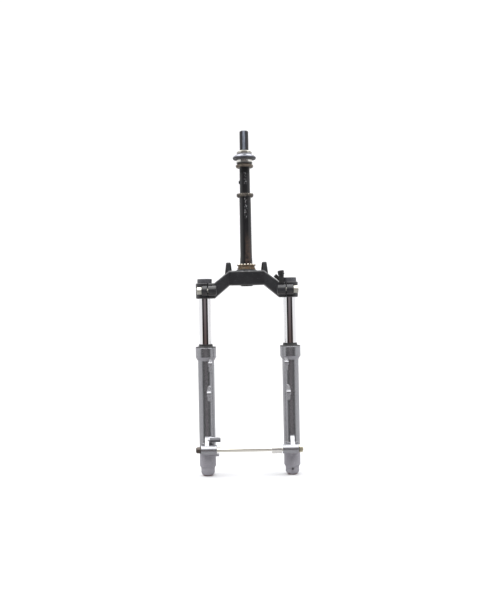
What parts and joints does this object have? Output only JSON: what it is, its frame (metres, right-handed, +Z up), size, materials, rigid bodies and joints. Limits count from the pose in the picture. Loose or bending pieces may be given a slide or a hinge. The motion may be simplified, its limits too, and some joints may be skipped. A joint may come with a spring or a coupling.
{
  "type": "moped fork",
  "caption": "Telescopic front fork for a light moped: steering stem with bearings, gull-wing crown, two sprung legs and a wheel axle.",
  "frame": {"origin": "on the steering axis, at the crown's top face, where the crown race seats", "axes": "+Z up the steering axis, -Y is the front of the machine, +X is the rider's left"},
  "size_m": [0.268, 0.1071, 0.879],
  "materials": {
    "stem_black": "glossy black paint over steel, scratched along the front",
    "crown_black": "satin charcoal paint over a casting, rubbed pale on its upper edges",
    "black_plastic": "matte moulded plastic",
    "black_screw": "blacked steel, half gloss",
    "black_rubber": "matte moulded rubber",
    "seal_rubber": "wiper rubber, half gloss, dusty",
    "black_cap": "soft matte plastic",
    "rusted_steel": "ground bearing steel stained by rust and old grease",
    "brown_cage": "pressed steel, dull brown",
    "rusted_cup": "bearing cup, brown with old grease and light rust",
    "ball_steel": "polished balls with a film of grease",
    "bright_steel": "bright turned steel, zinc plated, slightly stained",
    "chrome": "hard chrome, mirror polished",
    "zinc_silver": "dull zinc plate with brown rust spots",
    "slider_grey": "metallic grey paint over cast alloy",
    "plain_aluminium": "machined, plain",
    "plain_steel": "machined, oiled",
    "spring_steel": "oiled spring wire",
    "bush_bronze": "bronze-backed bearing bush",
    "piston_plastic": "filled plastic ring",
    "copper_washer": "tarnished copper",
    "dark_steel": "dark tarnished steel",
    "zinc_yellow": "yellow passivated zinc, worn pale",
    "spacer_zinc": "pale zinc plate with brown stains in its groove"
  },
  "bodies": {
    "crown_and_stem": {"steering_stem": "stem_black", "fork_crown": "crown_black", "hose_guide": "black_plastic", "hose_guide_screw": "black_screw", "stem_dust_seal": "black_rubber", "crown_race": "rusted_steel", "top_cone": "bright_steel", "lock_nut": "bright_steel", "left_stanchion": "chrome", "left_leg_cap": "black_cap", "left_top_plug": "plain_aluminium", "left_plug_o_ring": "black_rubber", "left_plug_clip": "spring_steel", "left_main_spring": "spring_steel", "left_slide_bush": "bush_bronze", "left_pinch_bolt": "zinc_silver", "right_stanchion": "chrome", "right_leg_cap": "black_cap", "right_top_plug": "plain_aluminium", "right_plug_o_ring": "black_rubber", "right_plug_clip": "spring_steel", "right_main_spring": "spring_steel", "right_slide_bush": "bush_bronze", "right_pinch_bolt": "zinc_silver"},
    "lower_legs": {"left_slider": "slider_grey", "left_guide_bush": "bush_bronze", "left_backup_washer": "plain_steel", "left_oil_seal": "black_rubber", "left_seal_clip": "spring_steel", "left_dust_seal": "seal_rubber", "left_damper_rod": "plain_steel", "left_piston_ring": "piston_plastic", "left_rebound_spring": "spring_steel", "left_oil_lock": "plain_aluminium", "left_bottom_washer": "copper_washer", "left_bottom_bolt": "dark_steel", "right_slider": "slider_grey", "right_guide_bush": "bush_bronze", "right_backup_washer": "plain_steel", "right_oil_seal": "black_rubber", "right_seal_clip": "spring_steel", "right_dust_seal": "seal_rubber", "right_damper_rod": "plain_steel", "right_piston_ring": "piston_plastic", "right_rebound_spring": "spring_steel", "right_oil_lock": "plain_aluminium", "right_bottom_washer": "copper_washer", "right_bottom_bolt": "dark_steel", "left_drain_screw": "dark_steel", "wheel_axle": "zinc_yellow", "axle_washers": "dark_steel", "axle_nut": "zinc_yellow"},
    "wheel_spacer": {"wheel_spacer": "spacer_zinc"},
    "lower_bearing": {"lower_bearing_cage": "rusted_steel", "lower_bearing_balls": "ball_steel"},
    "upper_bearing": {"upper_bearing_cage": "brown_cage", "upper_bearing_balls": "ball_steel"},
    "upper_cup": {"upper_cup": "rusted_cup"}
  },
  "joints": [
    {"name": "fork_travel", "type": "slide", "parent": "crown_and_stem", "child": "lower_legs", "axis": [0, 0, 1], "range_m": [0, 0.09], "stiffness_N_per_m": 12000, "springref_m": -0.008, "deforming": ["left_main_spring", "right_main_spring"]},
    {"name": "spacer_slide", "type": "slide", "parent": "lower_legs", "child": "wheel_spacer", "axis": [-1, 0, 0], "range_m": [0, 0.134]},
    {"name": "lower_bearing_turn", "type": "hinge", "parent": "crown_and_stem", "child": "lower_bearing", "pos_m": [0, 0, 0.0148], "axis": [0, 0, 1], "continuous": true},
    {"name": "upper_bearing_lift", "type": "slide", "parent": "crown_and_stem", "child": "upper_bearing", "axis": [0, 0, 1], "range_m": [0, 0.03]},
    {"name": "upper_cup_turn", "type": "hinge", "parent": "crown_and_stem", "child": "upper_cup", "pos_m": [0, 0, 0.269], "axis": [0, 0, 1], "continuous": true}
  ]
}
